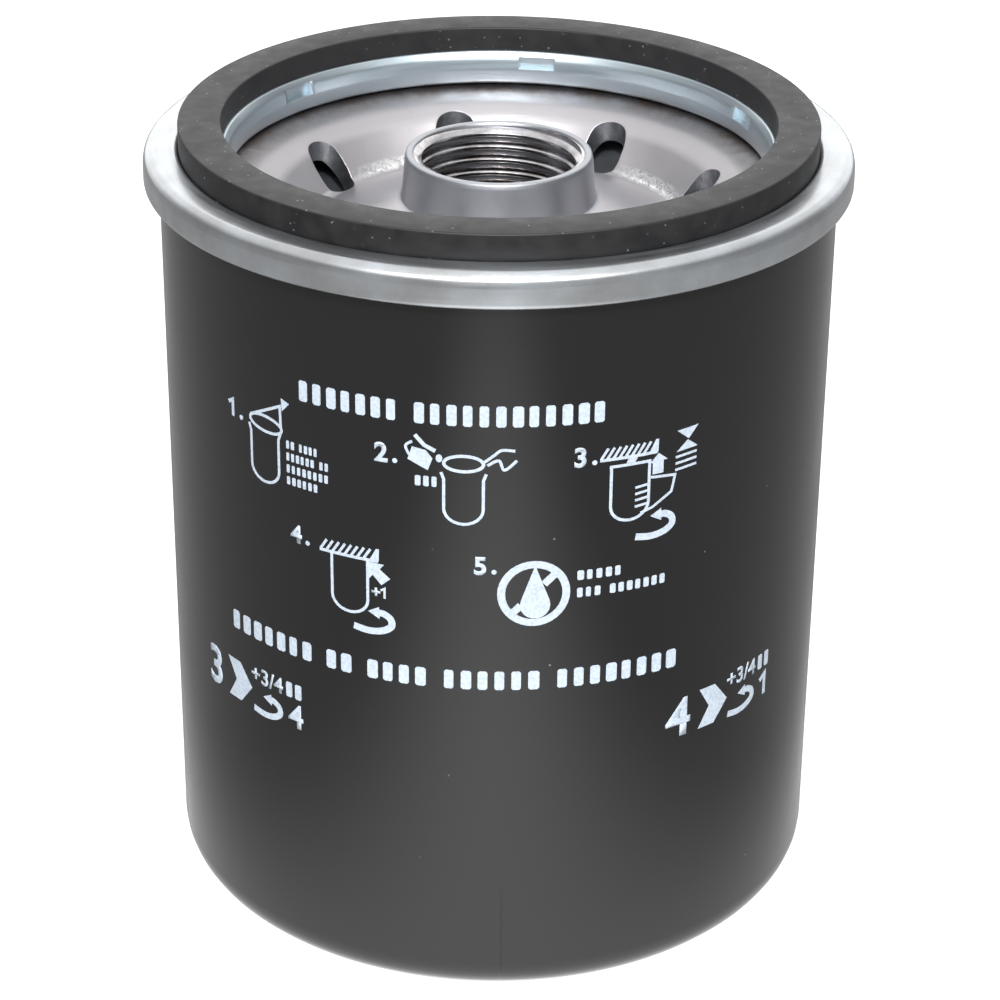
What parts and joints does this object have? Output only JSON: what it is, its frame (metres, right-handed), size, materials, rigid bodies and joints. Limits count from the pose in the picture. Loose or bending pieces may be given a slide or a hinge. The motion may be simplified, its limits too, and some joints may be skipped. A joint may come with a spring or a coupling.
{
  "type": "oil filter",
  "caption": "Spin-on engine oil filter: black drawn can, zinc-plated rolled lid, rubber gasket, threaded plate with inlet slots, and pleated element with valves inside.",
  "frame": {"origin": "centre of the closed end, in the plane that the can stands on", "axes": "+Z along the thread's axis, from the closed end towards the gasket's face; +X and +Y are across it, and the print faces -Y"},
  "size_m": [0.08, 0.08, 0.093],
  "materials": {
    "black_enamel": "gloss",
    "print_ink": "satin",
    "zinc_plate": "satin",
    "gasket_rubber": "matte",
    "valve_rubber": "matte",
    "seam_sealer": "matte",
    "phosphated_steel": "satin",
    "tinplate": "satin",
    "spring_steel": "satin",
    "filter_paper": "matte",
    "plastisol": "satin"
  },
  "bodies": {
    "root": {"canister": "black_enamel", "seaming_lid": "zinc_plate", "seam_compound": "seam_sealer", "sealing_gasket": "gasket_rubber", "tapping_plate": "phosphated_steel", "upper_end_cap": "tinplate", "lower_end_cap": "tinplate", "centre_tube": "tinplate", "pleated_paper": "filter_paper", "pleat_clip": "tinplate", "upper_adhesive": "plastisol", "lower_adhesive": "plastisol", "bypass_cage": "tinplate", "bypass_retainer": "tinplate", "element_spring": "spring_steel", "spring_washer": "zinc_plate"},
    "drain_skirt": {"anti_drain_valve": "valve_rubber"},
    "poppet": {"bypass_poppet": "zinc_plate", "bypass_seal": "valve_rubber", "bypass_spring": "spring_steel"}
  },
  "joints": [
    {"name": "bypass_lift", "type": "slide", "parent": "root", "child": "poppet", "axis": [0, 0, 1], "range_m": [0, 0.003], "stiffness_N_per_m": 1500, "springref_m": -0.0075, "deforming": ["bypass_spring"]},
    {"name": "drain_skirt_flex", "type": "slide", "parent": "root", "child": "drain_skirt", "axis": [0, 0, -1], "range_m": [0, 0.0015], "stiffness_N_per_m": 150, "springref_m": -0.002, "deforming": ["anti_drain_valve"]}
  ]
}
